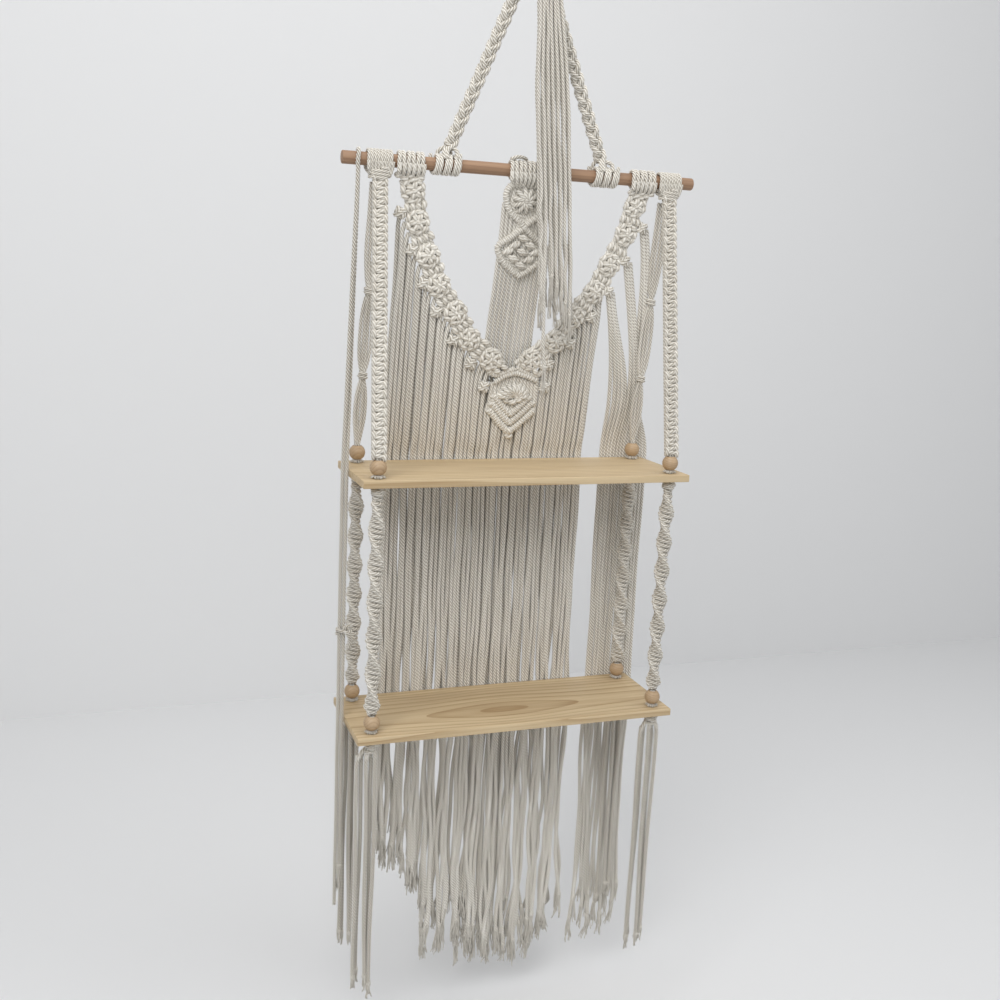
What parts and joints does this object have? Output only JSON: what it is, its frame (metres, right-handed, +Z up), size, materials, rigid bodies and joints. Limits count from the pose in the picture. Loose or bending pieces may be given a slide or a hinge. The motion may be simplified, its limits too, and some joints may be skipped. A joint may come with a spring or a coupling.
{
  "type": "hanging rope shelf",
  "caption": "Two wooden boards hung one above the other on knotted cotton cord from a rod and one top loop, with a knotted V and a long cord fringe behind.",
  "frame": {"origin": "The inner top of the hanging loop, where it rests on its hook", "axes": "+X to the right along the rod seen from the front, +Y to the back through the fringe, +Z up"},
  "size_m": [0.45, 0.1531, 1.398],
  "materials": {
    "cotton_cord": "twisted cotton cord, matt, cream",
    "pine": "bare planed pine, matt",
    "beech": "bare sanded beech, low sheen"
  },
  "bodies": {
    "hang_loop": {"hang_loop": "cotton_cord"},
    "knot": {"top_knot": "cotton_cord"},
    "tail": {"tail_cords": "cotton_cord"},
    "hanger": {"left_braid": "cotton_cord", "right_braid": "cotton_cord", "left_braid_hitch": "cotton_cord", "right_braid_hitch": "cotton_cord", "dowel_rod": "beech"},
    "shelf": {"left_sling_hitch": "cotton_cord", "right_sling_hitch": "cotton_cord", "front_left_sling": "cotton_cord", "front_right_sling": "cotton_cord", "back_left_sling": "cotton_cord", "back_right_sling": "cotton_cord", "upper_board": "pine", "upper_front_left_bead": "beech", "upper_front_right_bead": "beech", "upper_back_left_bead": "beech", "upper_back_right_bead": "beech"},
    "fringe": {"left_arm_hitch": "cotton_cord", "right_arm_hitch": "cotton_cord", "centre_hitch": "cotton_cord", "left_v_arm": "cotton_cord", "right_v_arm": "cotton_cord", "v_leaf": "cotton_cord", "centre_diamonds": "cotton_cord", "left_fringe": "cotton_cord", "right_fringe": "cotton_cord", "centre_fringe": "cotton_cord", "outer_cord": "cotton_cord"},
    "front_ropes": {"front_left_spiral": "cotton_cord", "front_right_spiral": "cotton_cord"},
    "back_ropes": {"back_left_spiral": "cotton_cord", "back_right_spiral": "cotton_cord"},
    "lower_shelf": {"lower_board": "pine", "lower_front_left_bead": "beech", "lower_front_right_bead": "beech", "lower_back_left_bead": "beech", "lower_back_right_bead": "beech", "front_left_stop_knot": "cotton_cord", "front_right_stop_knot": "cotton_cord", "back_left_stop_knot": "cotton_cord", "back_right_stop_knot": "cotton_cord"},
    "front_left_tassel": {"front_left_tassel": "cotton_cord"},
    "front_right_tassel": {"front_right_tassel": "cotton_cord"},
    "back_left_tassel": {"back_left_tassel": "cotton_cord"},
    "back_right_tassel": {"back_right_tassel": "cotton_cord"}
  },
  "joints": [
    {"name": "hanger_swing", "type": "hinge", "parent": "hang_loop", "child": "knot", "pos_m": [0, 0, 0], "axis": [1, 0, 0], "range_deg": [-20, 20]},
    {"name": "tail_swing", "type": "hinge", "parent": "knot", "child": "tail", "pos_m": [0, -0.0138, -0.02619], "axis": [1, 0, 0], "range_deg": [-35, 0]},
    {"name": "hanger_sway", "type": "hinge", "parent": "knot", "child": "hanger", "pos_m": [0, 0, 0], "axis": [0, 1, 0], "range_deg": [-8, 8]},
    {"name": "shelf_swing", "type": "hinge", "parent": "hanger", "child": "shelf", "pos_m": [0, 0, -0.29], "axis": [1, 0, 0], "range_deg": [-10, 20]},
    {"name": "fringe_swing", "type": "hinge", "parent": "shelf", "child": "fringe", "pos_m": [0, 0, -0.29], "axis": [1, 0, 0], "range_deg": [0, 25]},
    {"name": "front_rope_swing", "type": "hinge", "parent": "shelf", "child": "front_ropes", "pos_m": [0, -0.0652, -0.6742], "axis": [1, 0, 0], "range_deg": [-20, 0]},
    {"name": "back_rope_swing", "type": "hinge", "parent": "shelf", "child": "back_ropes", "pos_m": [0, 0.0432, -0.6742], "axis": [1, 0, 0], "range_deg": [-20, 0]},
    {"name": "lower_level", "type": "hinge", "parent": "front_ropes", "child": "lower_shelf", "pos_m": [0, -0.0652, -0.93825], "axis": [1, 0, 0], "range_deg": [0, 20]},
    {"name": "front_left_tassel_swing", "type": "hinge", "parent": "lower_shelf", "child": "front_left_tassel", "pos_m": [-0.1895, -0.0652, -0.9872], "axis": [1, 0, 0], "range_deg": [-25, 10]},
    {"name": "front_right_tassel_swing", "type": "hinge", "parent": "lower_shelf", "child": "front_right_tassel", "pos_m": [0.1895, -0.0652, -0.9872], "axis": [1, 0, 0], "range_deg": [-25, 10]},
    {"name": "back_left_tassel_swing", "type": "hinge", "parent": "lower_shelf", "child": "back_left_tassel", "pos_m": [-0.1895, 0.0432, -0.9872], "axis": [1, 0, 0], "range_deg": [-12, 0]},
    {"name": "back_right_tassel_swing", "type": "hinge", "parent": "lower_shelf", "child": "back_right_tassel", "pos_m": [0.1895, 0.0432, -0.9872], "axis": [1, 0, 0], "range_deg": [-12, 0]}
  ],
  "couplings": [
    {"joint": "back_rope_swing", "follows": "front_rope_swing", "ratio": 1},
    {"joint": "lower_level", "follows": "front_rope_swing", "ratio": -1}
  ]
}
